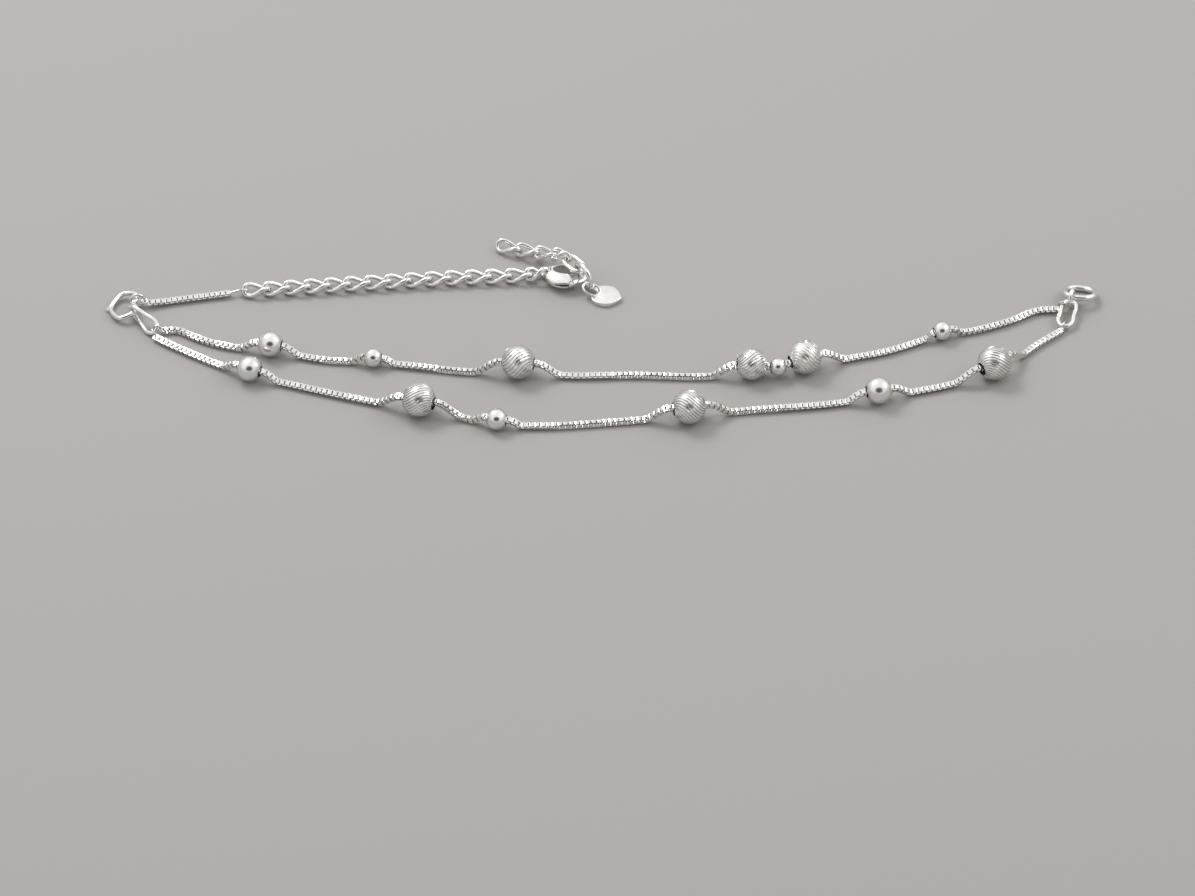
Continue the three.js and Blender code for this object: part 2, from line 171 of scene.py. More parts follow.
# Round rings: the turn is the way their plane runs in plan, and the lean tips them over.
RINGS = [
    {"name": "hook_ring", "centre": (-3.3, 13.3, 2.98), "radius": 2.5, "wire": 1.0,
     "turn": -60, "lean": -9},
    {"name": "heart_jump_ring", "centre": (-84.3, 8.3, 1.55), "radius": 1.25, "wire": 0.6,
     "turn": 6, "lean": 0},
    {"name": "right_jump_ring", "centre": (84.82, 8.38, 2.02), "radius": 1.6, "wire": 0.82,
     "turn": 73, "lean": 0},
]

# Hearts: how far from the middle their lobes peak, as a share of the half width, and how deep the cleft
# is, as a share of the length.
LOBE = {"peak": 0.45, "cleft": 0.17}
HEART_STEPS = 96

# The open heart, lifted at its lobes by so many degrees, and the nub at its tip.
HEART = {"x": -86.8, "y": 7.2, "length": 5.1, "width": 6.8, "wire": 0.95, "lift": 15.7}
HEART_NUB = {"past_tip": 0.05, "sizes": (0.78, 0.72, 0.42)}

# The tag, and the eye soldered on it, which runs from its root out to its reach from the tag's middle.
TAG = {"x": 0.8, "y": 10.6, "length": 5.5, "width": 5.3, "thickness": 0.9, "turn": -16}
TAG_EDGE = {"width": 0.24, "steps": 4, "sharper_than": 60}
TAG_EYE = {"reach": 4.6, "root": 1.3, "width": 2.1, "wire": 0.5, "height": 1.47, "rise": 22, "twist": 20}

# Clasp, in its own frame: X runs from the eye to the hook and its middle plane is level. The shell is a
# plump lens, and its points say how it narrows to each end, across and upwards. The lever's front closes
# its mouth, and its arm lies in a slot in the front edge.
CLASP = {"x": -9.5, "y": 15.8, "z": 1.8, "turn": -12}
SHELL = {"x": 2.5, "to_eye": 4.0, "to_hook": 4.4, "front": 3.45, "back": 2.55, "above": 1.1, "below": 1.5}
SHELL_FULLNESS = 0.8
SHELL_POINT = {"eye": (1.3, 1.3), "hook": (1.6, 1.0)}
HOOK_THINNING = {"share": 0.62, "from": 0.2, "to": 0.9}
EYE_HOLE = {"x": -0.55, "radius": 0.58}
OPENINGS = [
    {"x": 2.7, "y": 0.3, "reach": 2.3, "side": 1.25},
    {"x": 4.9, "y": 0.45, "reach": 1.25, "side": 1.0},
]
PIVOT = {"x": 2.4, "y": -1.2, "hub": 0.5}
SLOT = {"x": 2.9, "y": -1.7, "z": 0.1, "radius": 2.1, "height": 0.4}
MOUTH = {"from": 4.0, "to": 5.55, "top": -0.3, "radius": 2.15}
LEVER = {"gap": 0.1, "top": -1.1, "arm_from": -1.75, "arm_to": -1.1, "arm_to_x": 4.9, "arm_height": 0.22}

# Castings: how finely they are melted together, how often smoothed, and a depth that cuts right through.
CASTING_GRAIN = 0.06
CASTING_SMOOTHING = 10
RIGHT_THROUGH = 4
LUMP_SEGMENTS = 48
LUMP_RINGS = 32
DRUM_SIDES = 96

# Silver: how wide its drifts of tone are, where in a drift the two tones lie, and the grain's range and
# depth.
DRIFT_WIDTH = 2.2
DULL_BELOW = 0.3
BRIGHT_ABOVE = 0.6
GRAIN_LOW = 0.3
GRAIN_HIGH = 0.7
GRAIN_DEPTH = 0.02

# Studio: two softboxes, in metres and watts, a white tent that is dimmer towards the table and dark where
# the camera looks in, and a pale floor.
SOFTBOXES = [
    {"name": "key_softbox", "place": (-0.3, 0.35, 0.6), "size": (0.35, 0.25), "power": 2.2},
    {"name": "fill_softbox", "place": (0.5, 0.1, 0.45), "size": (0.3, 0.3), "power": 0.6},
]
TENT = {"low": -0.1, "high": 0.7, "dim": 0.42, "bright": 0.95}
CAMERA_HOLE = {"edge": 30, "core": 13, "dark": 0.08, "squeeze": (0.7, 1, 1)}
FLOOR = {"size": 4, "colour": "#A9A6A4", "roughness": 0.9}

# The photograph's view: how steeply the camera looks down, its lens and, in the frame's millimetres, the
# place on the table that it aims at and how far off it stands.
ELEVATION = 42.0
LENS = 135.0
SENSOR = 36.0
AIM = Vector((-0.81, -29.38, 0))
DISTANCE = 784.2


# Small helpers.

def place_of(layout):
    """A place in the layout as a place in the frame, in metres."""
    return (Vector(layout) + layout_shift) * MM


def middle(node):
    low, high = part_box(node)
    return (low + high) / 2


def bead_radius(node):
    low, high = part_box(node)
    return (high.z - low.z) / 2


def active_piece():
    return bpy.context.view_layer.objects.active


def deselect():
    bpy.ops.object.select_all(action="DESELECT")


def activate(piece):
    deselect()
    piece.select_set(True)
    bpy.context.view_layer.objects.active = piece
    return piece


def select_where(piece, kind, test):
    """Goes to edit mode with only those vertices, edges or faces selected that pass the test."""
    activate(piece)
    bpy.ops.object.mode_set(mode="EDIT")
    bpy.ops.mesh.select_mode(type=kind)
    bpy.ops.mesh.select_all(action="DESELECT")
    bpy.ops.object.mode_set(mode="OBJECT")
    parts = {"VERT": piece.data.vertices, "EDGE": piece.data.edges, "FACE": piece.data.polygons}[kind]
    for part in parts:
        part.select = test(part)
    bpy.ops.object.mode_set(mode="EDIT")


def modify(piece, kind, **settings):
    """Adds a modifier with its settings and applies it."""
    activate(piece)
    modifier = piece.modifiers.new(kind.title(), kind)
    for key, value in settings.items():
        setattr(modifier, key, value)
    bpy.ops.object.modifier_apply(modifier=modifier.name)
    return piece


def apply_place(piece, matrix=None):
    if matrix is not None:
        piece.matrix_world = matrix @ piece.matrix_world
    activate(piece)
    bpy.ops.object.transform_apply(location=True, rotation=True, scale=True)
    return piece


def join(pieces):
    activate(pieces[0])
    for piece in pieces[1:]:
        piece.select_set(True)
    bpy.ops.object.join()
    return active_piece()


def basis(x, y, z, origin):
    """The matrix that carries the axes to these directions and the origin to this place."""
    matrix = Matrix((x, y, z)).transposed().to_4x4()
    matrix.translation = origin
    return matrix


def settle(piece, name, body, slot, material, *nodes):
    """Names a finished piece, gives it its finish and lets it stand for its nodes."""
    piece.name = name
    piece.data.name = name
    if material is not None:
        piece.data.materials.clear()
        piece.data.materials.append(material)
    activate(piece)
    bpy.ops.object.shade_smooth_by_angle(angle=math.radians(SMOOTH_BELOW))
    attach(piece, body)
    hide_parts(*nodes)
    return piece


layout_shift = Vector((*(middle("front_bead_1") / MM - FIRST_FRONT_BEAD).xy, 0))


# Colours and materials.

def linear(code):
    """An sRGB hex colour as linear red, green, blue and alpha."""
    tones = [int(code[i:i + 2], 16) / 255 for i in (1, 3, 5)]
    return [tone / 12.92 if tone <= 0.04045 else ((tone + 0.055) / 1.055) ** 2.4 for tone in tones] + [1.0]


def add_node(tree, kind, settings=None, links=None):
    """Adds a node: settings by property or input identifier, links from input identifier to an output."""
    node = tree.nodes.new(kind)
    sockets = {socket.identifier: socket for socket in node.inputs}
    for key, value in (settings or {}).items():
        if hasattr(node, key):
            setattr(node, key, value)
        else:
            sockets[key].default_value = value
    for key, socket in (links or {}).items():
        tree.links.new(socket, sockets[key])
    return node


def silver(name, bright, dull, roughness, spread, grain_mm, bump):
    """Sterling silver: its colour and gloss drift between two tones, over a fine grain."""
    material = bpy.data.materials.new(name)
    material.use_nodes = True
    tree = material.node_tree
    tree.nodes.clear()
    place = add_node(tree, "ShaderNodeTexCoord").outputs["Object"]
    drift = add_node(
        tree,
        "ShaderNodeTexNoise",
        {"Scale": 1 / (DRIFT_WIDTH * MM), "Detail": 3.0, "Roughness": 0.6},
        {"Vector": place},
    ).outputs["Fac"]
    grain = add_node(
        tree, "ShaderNodeTexNoise", {"Scale": 1 / (grain_mm * MM), "Detail": 2.0}, {"Vector": place}
    ).outputs["Fac"]
    colour = add_node(tree, "ShaderNodeValToRGB", None, {"Fac": drift})
    colour.color_ramp.elements[0].position = DULL_BELOW
    colour.color_ramp.elements[0].color = linear(dull)
    colour.color_ramp.elements[1].position = BRIGHT_ABOVE
    colour.color_ramp.elements[1].color = linear(bright)
    gloss = add_node(
        tree,
        "ShaderNodeMapRange",
        {
            "From Min": GRAIN_LOW,
            "From Max": GRAIN_HIGH,
            "To Min": roughness - spread,
            "To Max": roughness + spread,
        },
        {"Value": grain},
    )
    relief = add_node(
        tree, "ShaderNodeBump", {"Strength": bump, "Distance": GRAIN_DEPTH * MM}, {"Height": grain}
    )
    shader = add_node(
        tree,
        "ShaderNodeBsdfPrincipled",
        {"Metallic": 1.0},
        {
            "Base Color": colour.outputs["Color"],
            "Roughness": gloss.outputs["Result"],
            "Normal": relief.outputs["Normal"],
        },
    )
    add_node(tree, "ShaderNodeOutputMaterial", None, {"Surface": shader.outputs["BSDF"]})
    return material


# Wire and castings, tumbled and polished: clear bright reflections with a slight haze.
polished_silver = silver(
    "Polished sterling silver",
    bright="#F5F4F1",
    dull="#E8E6E2",
    roughness=0.17,
    spread=0.03,
    grain_mm=0.12,
    bump=0.1,
)
# Rolled strip in the box chain: polished flats that flash one by one.
chain_silver = silver(
    "Rolled silver strip",
    bright="#F2F0ED",
    dull="#E2DFDB",
    roughness=0.18,
    spread=0.03,
    grain_mm=0.1,
    bump=0.05,
)
# Balls tumbled to a soft white gloss.
satin_silver = silver(
    "Satin tumbled silver",
    bright="#F6F5F3",
    dull="#E9E8E5",
    roughness=0.2,
    spread=0.04,
    grain_mm=0.1,
    bump=0.15,
)
# Ground between the cuts of the large balls: finely frosted, so it stays white from most sides.
frosted_silver = silver(
    "Frosted silver",
    bright="#F7F6F4",
    dull="#ECEBE8",
    roughness=0.22,
    spread=0.05,
    grain_mm=0.09,
    bump=0.12,
)
# The cuts themselves: a diamond tool leaves them bright, but their grey here is darker by painted shade,
# standing in for the shadow and dark reflections in the narrow grooves.
cut_silver_painted_shade = silver(
    "Bright-cut silver with painted shade",
    bright="#CFCDC9",
    dull="#BAB8B4",
    roughness=0.18,
    spread=0.04,
    grain_mm=0.12,
    bump=0.1,
)


# Routes.

def smooth_line(rows, steps):
    """A smooth line through the rows, evenly rounded at each, as points."""
    ends = [2 * rows[0] - rows[1], *rows, 2 * rows[-1] - rows[-2]]
    line = []
    for before, start, stop, after in zip(ends, ends[1:], ends[2:], ends[3:]):
        gap_in = math.sqrt((start - before).length)
        gap = math.sqrt((stop - start).length)
        gap_out = math.sqrt((after - stop).length)
        leave = (start - before) / gap_in - (stop - before) / (gap_in + gap) + (stop - start) / gap
        arrive = (stop - start) / gap - (after - start) / (gap + gap_out) + (after - stop) / gap_out
        hold = gap / 3
        line += interpolate_bezier(start, start + leave * hold, stop - arrive * hold, stop, steps + 1)[:-1]
    return [*line, rows[-1]]


def distances(line):
    """How far along the line each of its points is."""
    total = [0.0]
    for here, ahead in zip(line, line[1:]):
        total.append(total[-1] + (ahead - here).length)
    return total


def smooth_share(value, low, high):
    """From 0 at low to 1 at high, with soft ends."""
    share = min(max((value - low) / (high - low), 0), 1)
    return share * share * (3 - 2 * share)


def strand_line(rows):
    """A strand's line: its plan runs through the rows, and its height follows the beads on it."""
    points = []
    for row in rows:
        point = middle(row) if isinstance(row, str) else place_of((*row, 0))
        points.append(Vector((point.x, point.y, 0)))
    line = smooth_line(points, LINE_STEPS)
    along = distances(line)
    beads = []
    for i, row in enumerate(rows):
        if isinstance(row, str):
            beads.append((along[i * LINE_STEPS], bead_radius(row), middle(row).z))
    lying = CHAIN_LYING * MM
    for point, distance in zip(line, along):
        point.z = lying
        for at, radius, height in beads:
            level = math.sqrt(radius ** 2 - (CAD_BORE_RADIUS * MM) ** 2) + LEVEL_PAST_MOUTH * MM
            run = RUN_PER_DROP * (height - lying)
            sunk = smooth_share(abs(distance - at), level, level + run)
            point.z = max(point.z, height + (lying - height) * sunk)
        for (at, radius, height), (next_at, next_radius, next_height) in zip(beads, beads[1:]):
            close = next_at - at < radius + next_radius + ALL_BUT_TOUCHING * MM
            if close and at <= distance <= next_at:
                point.z = height + (next_height - height) * (distance - at) / (next_at - at)
    return line


def roll_at(rolls, x):
    """The roll at a place along X, in radians, between the table's rows."""
    for (x0, roll0), (x1, roll1) in zip(rolls, rolls[1:]):
        if x <= x1:
            share = min(max((x - x0) / (x1 - x0), 0), 1)
            roll = roll0 + (roll1 - roll0) * share
            break
    else:
        roll = rolls[-1][1]
    return math.radians(roll + ROLL_WANDER * math.sin(2 * math.pi * x / WANDER_LENGTH))


# Box chain.

def box_link():
    """One link: a block without its open sides, its corners rounded, given the strip's thickness."""
    deselect()
    bpy.ops.mesh.primitive_cube_add(size=1, scale=(LINK_LENGTH * MM, CHAIN_SIDE * MM, STRIP_WIDTH * MM))
    link = apply_place(active_piece())
    select_where(link, "FACE", lambda face: abs(face.normal.z) > 0.5)
    bpy.ops.mesh.delete(type="ONLY_FACE")
    bpy.ops.object.mode_set(mode="OBJECT")
    corners = [vertex.co.copy() for vertex in link.data.vertices]

    def upright(edge):
        start, end = edge.vertices
        return abs((corners[start] - corners[end]).z) > 0

    select_where(link, "EDGE", upright)
    bpy.ops.mesh.bevel(offset=STRIP_CORNER * MM, segments=STRIP_CORNER_STEPS, affect="EDGES")
    bpy.ops.object.mode_set(mode="OBJECT")
    return modify(link, "SOLIDIFY", thickness=STRIP_THICKNESS * MM, offset=-1, use_even_offset=True)


def route_curve(line, rolls):
    """The line as a curve that is rolled, and nowhere lower than the rolled links can lie."""
    curve = bpy.data.curves.new("route", "CURVE")
    curve.dimensions = "3D"
    curve.twist_mode = "Z_UP"
    spline = curve.splines.new("POLY")
    spline.points.add(len(line) - 1)
    for point, place in zip(spline.points, line):
        point.tilt = roll_at(rolls, place.x / MM)
        flat = CHAIN_SIDE / 2 - STRIP_CORNER
        lying = flat * (math.cos(point.tilt) + abs(math.sin(point.tilt))) + STRIP_CORNER
        point.co = (place.x, place.y, max(place.z, lying * MM), 1)
    route = bpy.data.objects.new("route", curve)
    bpy.context.scene.collection.objects.link(route)
    return route


def box_chain(line, rolls):
    """A pair of links, one turned a quarter, repeated along X and then bent along the line."""
    length = distances(line)[-1] - LINK_LENGTH * MM
    count = round((length / (LINK_PITCH * MM) + 1) / 2)
    pitch = length / (2 * count - 1)
    flat = box_link()
    turned = box_link()
    quarter = Matrix.Rotation(math.pi / 2, 4, "X")
    apply_place(turned, Matrix.Translation((pitch, 0, 0)) @ quarter)
    chain = join([flat, turned])
    apply_place(chain, Matrix.Translation((LINK_LENGTH / 2 * MM, 0, 0)))
    route = route_curve(line, rolls)
    modify(
        chain,
        "ARRAY",
        count=count,
        use_relative_offset=False,
        use_constant_offset=True,
        constant_offset_displace=(2 * pitch, 0, 0),
    )
    modify(chain, "CURVE", object=route, deform_axis="POS_X")
    bpy.data.objects.remove(route)
    return chain


# Beads.

def bored_ball(radius, bore, segments, rings):
    """A ball with a bore along Z, from pole to pole."""
    deselect()
    bpy.ops.mesh.primitive_uv_sphere_add(segments=segments, ring_count=rings, radius=radius)
    ball = active_piece()
    select_where(ball, "VERT", lambda vertex: vertex.co.xy.length < bore * MM)
    bpy.ops.mesh.delete(type="VERT")
    bpy.ops.mesh.select_all(action="SELECT")
    bpy.ops.mesh.region_to_loop()
    bpy.ops.mesh.bridge_edge_loops(number_cuts=BORE_CUTS)
    bpy.ops.object.mode_set(mode="OBJECT")
    return ball


def set_on_strand(ball, node, line, yaw):
    """Turns a ball's bore along the strand, then by its yaw, and moves it to its node's place."""
    centre = middle(node)
    nearest = min(range(len(line)), key=lambda i: (line[i] - centre).length)
    along = (line[nearest + STEPS_BESIDE_BEAD] - line[nearest - STEPS_BESIDE_BEAD]).normalized()
    turn = along.to_track_quat("Z", "Y").to_matrix().to_4x4()
    return apply_place(ball, Matrix.Translation(centre) @ Matrix.Rotation(math.radians(yaw), 4, "Z") @ turn)


def cut_bead(row, line):
    """A large ball: even meridians are pressed in, and the ball is wound so that these grooves slant."""
    radius = bead_radius(row["name"])
    segments = MERIDIANS_PER_GROOVE * row["grooves"]
    ball = bored_ball(radius, WIDE_BORE_RADIUS, segments, CUT_BALL_RINGS)
    step = 2 * math.pi / segments
    mouth = math.sqrt(radius ** 2 - (PLAIN_RIM * WIDE_BORE_RADIUS * MM) ** 2)

    def in_groove(vertex):
        meridian = round(math.atan2(vertex.co.y, vertex.co.x) / step) % MERIDIANS_PER_GROOVE
        return meridian == 0 and abs(vertex.co.z) < mouth and vertex.co.length > OUTER_SHARE * radius

    select_where(ball, "VERT", in_groove)
    bpy.ops.transform.shrink_fatten(value=-GROOVE_DEPTH * MM)
    bpy.ops.object.mode_set(mode="OBJECT")
    # The grooves' slopes get the second material, whose darker grey is painted shade.
    ball.data.materials.append(frosted_silver)
    ball.data.materials.append(cut_silver_painted_shade)

    def on_slope(face):
        across = (math.atan2(face.center.y, face.center.x) / step) % MERIDIANS_PER_GROOVE
        return not 1 < across < MERIDIANS_PER_GROOVE - 1

    select_where(ball, "FACE", on_slope)
    ball.active_material_index = 1
    bpy.ops.object.material_slot_assign()
    bpy.ops.object.mode_set(mode="OBJECT")
    modify(ball, "SIMPLE_DEFORM", deform_method="TWIST", deform_axis="Z", angle=math.radians(row["wind"]))
    return set_on_strand(ball, row["name"], line, row["yaw"])


# Wire.

def wire_oval(length, width, wire, twists):
    """A wire loop along X: a round circle pulled out to its length, twisted, then given its wire."""
    deselect()
    bpy.ops.curve.primitive_bezier_circle_add(radius=width / 2 * MM)
    loop = active_piece()
    bpy.ops.object.mode_set(mode="EDIT")
    bpy.ops.curve.select_all(action="SELECT")
    bpy.ops.curve.subdivide(number_cuts=1)
    straight = (length - width) / 2
    for side in (-1, 1):
        bpy.ops.curve.select_all(action="DESELECT")
        for point in loop.data.splines[0].bezier_points:
            chosen = side * point.co.x > OFF_MIDDLE * MM
            point.select_control_point = chosen
            point.select_left_handle = chosen
            point.select_right_handle = chosen
        bpy.ops.transform.translate(value=(side * straight * MM, 0, 0))
    bpy.ops.curve.select_all(action="SELECT")
    bpy.ops.curve.handle_type_set(type="AUTOMATIC")
    bpy.ops.object.mode_set(mode="OBJECT")
    loop.data.resolution_u = LOOP_STEPS
    bpy.ops.object.convert(target="MESH")
    loop = active_piece()
    for vertex in loop.data.vertices:
        share = smooth_share(vertex.co.x, -length / 2 * MM, length / 2 * MM)
        twist = math.radians(twists[0] + (twists[1] - twists[0]) * share)
        vertex.co = Matrix.Rotation(twist, 3, "X") @ vertex.co
    bpy.ops.object.convert(target="CURVE")
    loop = active_piece()
    loop.data.bevel_depth = wire / 2 * MM
    loop.data.bevel_resolution = WIRE_ROUNDNESS
    bpy.ops.object.convert(target="MESH")
    return active_piece()


def lay_loop(row):
    """Lays a wire oval from its start to its end, its own Z as upright as it can be."""
    start = Vector(row["start"])
    end = Vector(row["end"])
    x = (end - start).normalized()
    y = UP.cross(x).normalized()
    loop = wire_oval((end - start).length, row["width"], row["wire"], row["twists"])
    return apply_place(loop, basis(x, y, x.cross(y), place_of((start + end) / 2)))


def stand_ring(row):
    """A round ring of wire, stood up along its turn and tipped by its lean."""
    deselect()
    bpy.ops.curve.primitive_bezier_circle_add(radius=row["radius"] * MM)
    ring = active_piece()
    ring.data.resolution_u = RING_STEPS
    ring.data.bevel_depth = row["wire"] / 2 * MM
    ring.data.bevel_resolution = WIRE_ROUNDNESS
    bpy.ops.object.convert(target="MESH")
    ring = active_piece()
    turn = math.radians(row["turn"])
    across = Vector((math.cos(turn), math.sin(turn), 0))
    upright = Matrix.Rotation(-math.radians(row["lean"]), 3, across) @ UP
    return apply_place(ring, basis(across, upright, across.cross(upright), place_of(row["centre"])))


def curb_links():
    """The curb chain's links as rows of wire loops, the last one ending in the clasp's eye."""
    line = smooth_line([Vector(row) for row in CURB_ROWS], CURB_STEPS)
    along = distances(line)

    def place_at(distance):
        for here, ahead, at, past in zip(line, line[1:], along, along[1:]):
            if distance <= past:
                return here.lerp(ahead, (distance - at) / (past - at))
        return line[-1]

    turn = Matrix.Rotation(math.radians(CLASP["turn"]), 3, "Z")
    in_eye = Vector((EYE_HOLE["x"] + LAST_CURB_LINK["past_hole"], 0, LAST_CURB_LINK["above"]))
    eye_place = Vector((CLASP["x"], CLASP["y"], CLASP["z"])) + turn @ in_eye
    links = []
    for i in range(CURB_LINKS):
        last = i == CURB_LINKS - 1
        links.append({
            "name": f"curb_link_{i + 1}",
            "start": place_at(i * CURB_PITCH),
            "end": eye_place if last else place_at(i * CURB_PITCH + CURB_LENGTH),
            "twists": (CURB_TWIST, LAST_CURB_LINK["twist"] if last else -CURB_TWIST),
            **CURB,
        })
    return links


def settle_wire(piece, node):
    settle(piece, node + "_wire", "anklet", "polished_silver", polished_silver, node)


# Castings.

def lump(x, y, z, sizes):
    """A ball of a blank, stretched to its half sizes."""
    place = (x * MM, y * MM, z * MM)
    deselect()
    bpy.ops.mesh.primitive_uv_sphere_add(
        segments=LUMP_SEGMENTS, ring_count=LUMP_RINGS, radius=MM, location=place
    )
    bpy.ops.transform.resize(value=sizes)
    return apply_place(active_piece())


def drum(x, y, z, sizes):
    """A round blank that stands on end: its radii along X and Y, and its height."""
    place = (x * MM, y * MM, z * MM)
    deselect()
    bpy.ops.mesh.primitive_cylinder_add(vertices=DRUM_SIDES, radius=MM, depth=MM, location=place)
    bpy.ops.transform.resize(value=sizes)
    return apply_place(active_piece())


def block(low, high):
    """A square blank between two corners."""
    low, high = Vector(low) * MM, Vector(high) * MM
    deselect()
    bpy.ops.mesh.primitive_cube_add(size=1, location=(low + high) / 2, scale=high - low)
    return apply_place(active_piece())


def carve(piece, operation, tool):
    """Cuts a tool out of a piece, or keeps only what they share, and removes the tool."""
    modify(piece, "BOOLEAN", operation=operation, object=tool, solver="EXACT")
    bpy.data.objects.remove(tool)
    return piece


def melt(pieces):
    """Makes one casting of several pieces, with soft edges where they meet."""
    casting = join(pieces)
    modify(casting, "REMESH", mode="VOXEL", voxel_size=CASTING_GRAIN * MM)
    return modify(casting, "SMOOTH", factor=0.5, iterations=CASTING_SMOOTHING)


# Hearts.

def heart_point(share, length, width):
    """A point of a full heart's outline: its cleft and lobes at +X, its tip at -X, from 0 to 1 round it."""
    quarter = 4 * min(share, 1 - share)
    side = 1 if share < 0.5 else -1
    if quarter > 1:
        to_tip = quarter - 1
        return Vector((-length / 2 * to_tip, side * width / 2 * (1 - to_tip ** 2), 0))
    across = math.sin(math.pi / 2 * quarter)
    past_peak = (across - LOBE["peak"]) / (1 - LOBE["peak"])
    along = 0.5 * math.sqrt(1 - past_peak ** 2)
    if across < LOBE["peak"]:
        along = 0.5 - LOBE["cleft"] * (1 - across / LOBE["peak"]) ** 2
    return Vector((length * along, side * width / 2 * across, 0))


def heart_loop():
    """The open heart: wire bent along the outline, with a small nub at its tip, lifted at its lobes."""
    curve = bpy.data.curves.new("heart_loop", "CURVE")
    curve.dimensions = "3D"
    spline = curve.splines.new("POLY")
    spline.points.add(HEART_STEPS - 1)
    spline.use_cyclic_u = True
    for i, point in enumerate(spline.points):
        share = (i + 0.5) / HEART_STEPS
        point.co = (*(heart_point(share, HEART["length"], HEART["width"]) * MM), 1)
    curve.bevel_depth = HEART["wire"] / 2 * MM
    curve.bevel_resolution = WIRE_ROUNDNESS
    loop = bpy.data.objects.new("heart_loop", curve)
    bpy.context.scene.collection.objects.link(loop)
    activate(loop)
    bpy.ops.object.convert(target="MESH")
    loop = active_piece()
    nub = lump(-HEART["length"] / 2 - HEART_NUB["past_tip"], 0, 0, HEART_NUB["sizes"])
    loop = melt([loop, nub])
    lift = math.radians(HEART["lift"])
    rise = HEART["wire"] / 2 + HEART["length"] / 2 * math.sin(lift)
    return apply_place(
        loop, Matrix.Translation(place_of((HEART["x"], HEART["y"], rise))) @ Matrix.Rotation(-lift, 4, "Y")
    )


def heart_tag():
    """A disc drawn into a heart and given its thickness and a soft edge, with a soldered eye."""
    deselect()
    bpy.ops.mesh.primitive_circle_add(vertices=HEART_STEPS, radius=MM, fill_type="NGON")
    tag = active_piece()
    for i, vertex in enumerate(tag.data.vertices):
        vertex.co = heart_point((i + 0.5) / HEART_STEPS, -TAG["length"], -TAG["width"]) * MM
    bpy.ops.object.mode_set(mode="EDIT")
    bpy.ops.mesh.select_all(action="SELECT")
    bpy.ops.mesh.extrude_region_move(TRANSFORM_OT_translate={"value": (0, 0, TAG["thickness"] * MM)})
    bpy.ops.mesh.select_all(action="SELECT")
    bpy.ops.mesh.normals_make_consistent(inside=False)
    bpy.ops.object.mode_set(mode="OBJECT")
    modify(
        tag,
        "BEVEL",
        width=TAG_EDGE["width"] * MM,
        segments=TAG_EDGE["steps"],
        limit_method="ANGLE",
        angle_limit=math.radians(TAG_EDGE["sharper_than"]),
    )
    reach, root = TAG_EYE["reach"], TAG_EYE["root"]
    eye = wire_oval(reach - root, TAG_EYE["width"], TAG_EYE["wire"], (TAG_EYE["twist"], TAG_EYE["twist"]))
    centre = Vector((-(reach + root) / 2, 0, TAG_EYE["height"])) * MM
    apply_place(eye, Matrix.Translation(centre) @ Matrix.Rotation(math.radians(TAG_EYE["rise"]), 4, "Y"))
    tag = join([tag, eye])
    turn = Matrix.Rotation(math.radians(TAG["turn"]), 4, "Z")
    return apply_place(tag, Matrix.Translation(place_of((TAG["x"], TAG["y"], 0))) @ turn)


# Clasp.

def cast(pieces):
    """Melts the clasp's pieces together and lays the casting in its place."""
    casting = melt(pieces)
    turn = Matrix.Rotation(math.radians(CLASP["turn"]), 4, "Z")
    return apply_place(casting, Matrix.Translation(place_of((CLASP["x"], CLASP["y"], CLASP["z"]))) @ turn)


def shell():
    """The clasp's plump lens: a ball drawn out along X, pointed at the eye and thinner at the hook."""
    lens = lump(0, 0, 0, (1, 1, 1))
    for vertex in lens.data.vertices:
        along, aside, up = vertex.co / MM
        end = "eye" if along < 0 else "hook"
        rim = max(math.sqrt(max(1 - along * along, 0)), 1e-6)
        across = math.copysign(abs(aside / rim) ** SHELL_FULLNESS, aside)
        upwards = math.copysign(abs(up / rim) ** SHELL_FULLNESS, up)
        point_across, point_upwards = SHELL_POINT[end]
        thinned = smooth_share(along, HOOK_THINNING["from"], HOOK_THINNING["to"])
        half_width = SHELL["front" if aside < 0 else "back"] * rim ** point_across
        half_height = SHELL["below" if up < 0 else "above"] * rim ** point_upwards
        half_height *= 1 - HOOK_THINNING["share"] * thinned
        x = SHELL["x"] + SHELL["to_" + end] * along
        vertex.co = Vector((x, half_width * across, half_height * upwards)) * MM
    for row in OPENINGS:
        carve(lens, "DIFFERENCE", drum(row["x"], row["y"], 0, (row["reach"], row["side"], RIGHT_THROUGH)))
    return lens


def mouth(end, top, radius):
    """The space in front that the lever closes, between two circles about the pivot."""
    far = RIGHT_THROUGH
    reach = end - PIVOT["x"]
    space = block((MOUTH["from"], -far, -far), (end, top, far))
    carve(space, "DIFFERENCE", drum(PIVOT["x"], PIVOT["y"], 0, (radius, radius, 3 * far)))
    return carve(space, "INTERSECT", drum(PIVOT["x"], PIVOT["y"], 0, (reach, reach, 3 * far)))


def clasp_body():
    """The shell with its mouth, the lever's slot and the eye's hole cut out."""
    body = shell()
    carve(body, "DIFFERENCE", mouth(MOUTH["to"], MOUTH["top"], MOUTH["radius"]))
    slot = (SLOT["radius"], SLOT["radius"], SLOT["height"])
    carve(body, "DIFFERENCE", drum(SLOT["x"], SLOT["y"], SLOT["z"], slot))
    hole = (EYE_HOLE["radius"], EYE_HOLE["radius"], RIGHT_THROUGH)
    carve(body, "DIFFERENCE", drum(EYE_HOLE["x"], 0, 0, hole))
    return cast([body])


def clasp_lever():
    """The lever: the stretch of shell that closes the mouth, on an arm with a hub at the pivot."""
    space = mouth(MOUTH["to"] - LEVER["gap"], LEVER["top"], MOUTH["radius"] + LEVER["gap"])
    front = carve(shell(), "INTERSECT", space)
    low = SLOT["z"] - LEVER["arm_height"] / 2
    high = SLOT["z"] + LEVER["arm_height"] / 2
    arm = block((PIVOT["x"], LEVER["arm_from"], low), (LEVER["arm_to_x"], LEVER["arm_to"], high))
    hub = drum(PIVOT["x"], PIVOT["y"], SLOT["z"], (PIVOT["hub"], PIVOT["hub"], LEVER["arm_height"]))
    return cast([front, arm, hub])


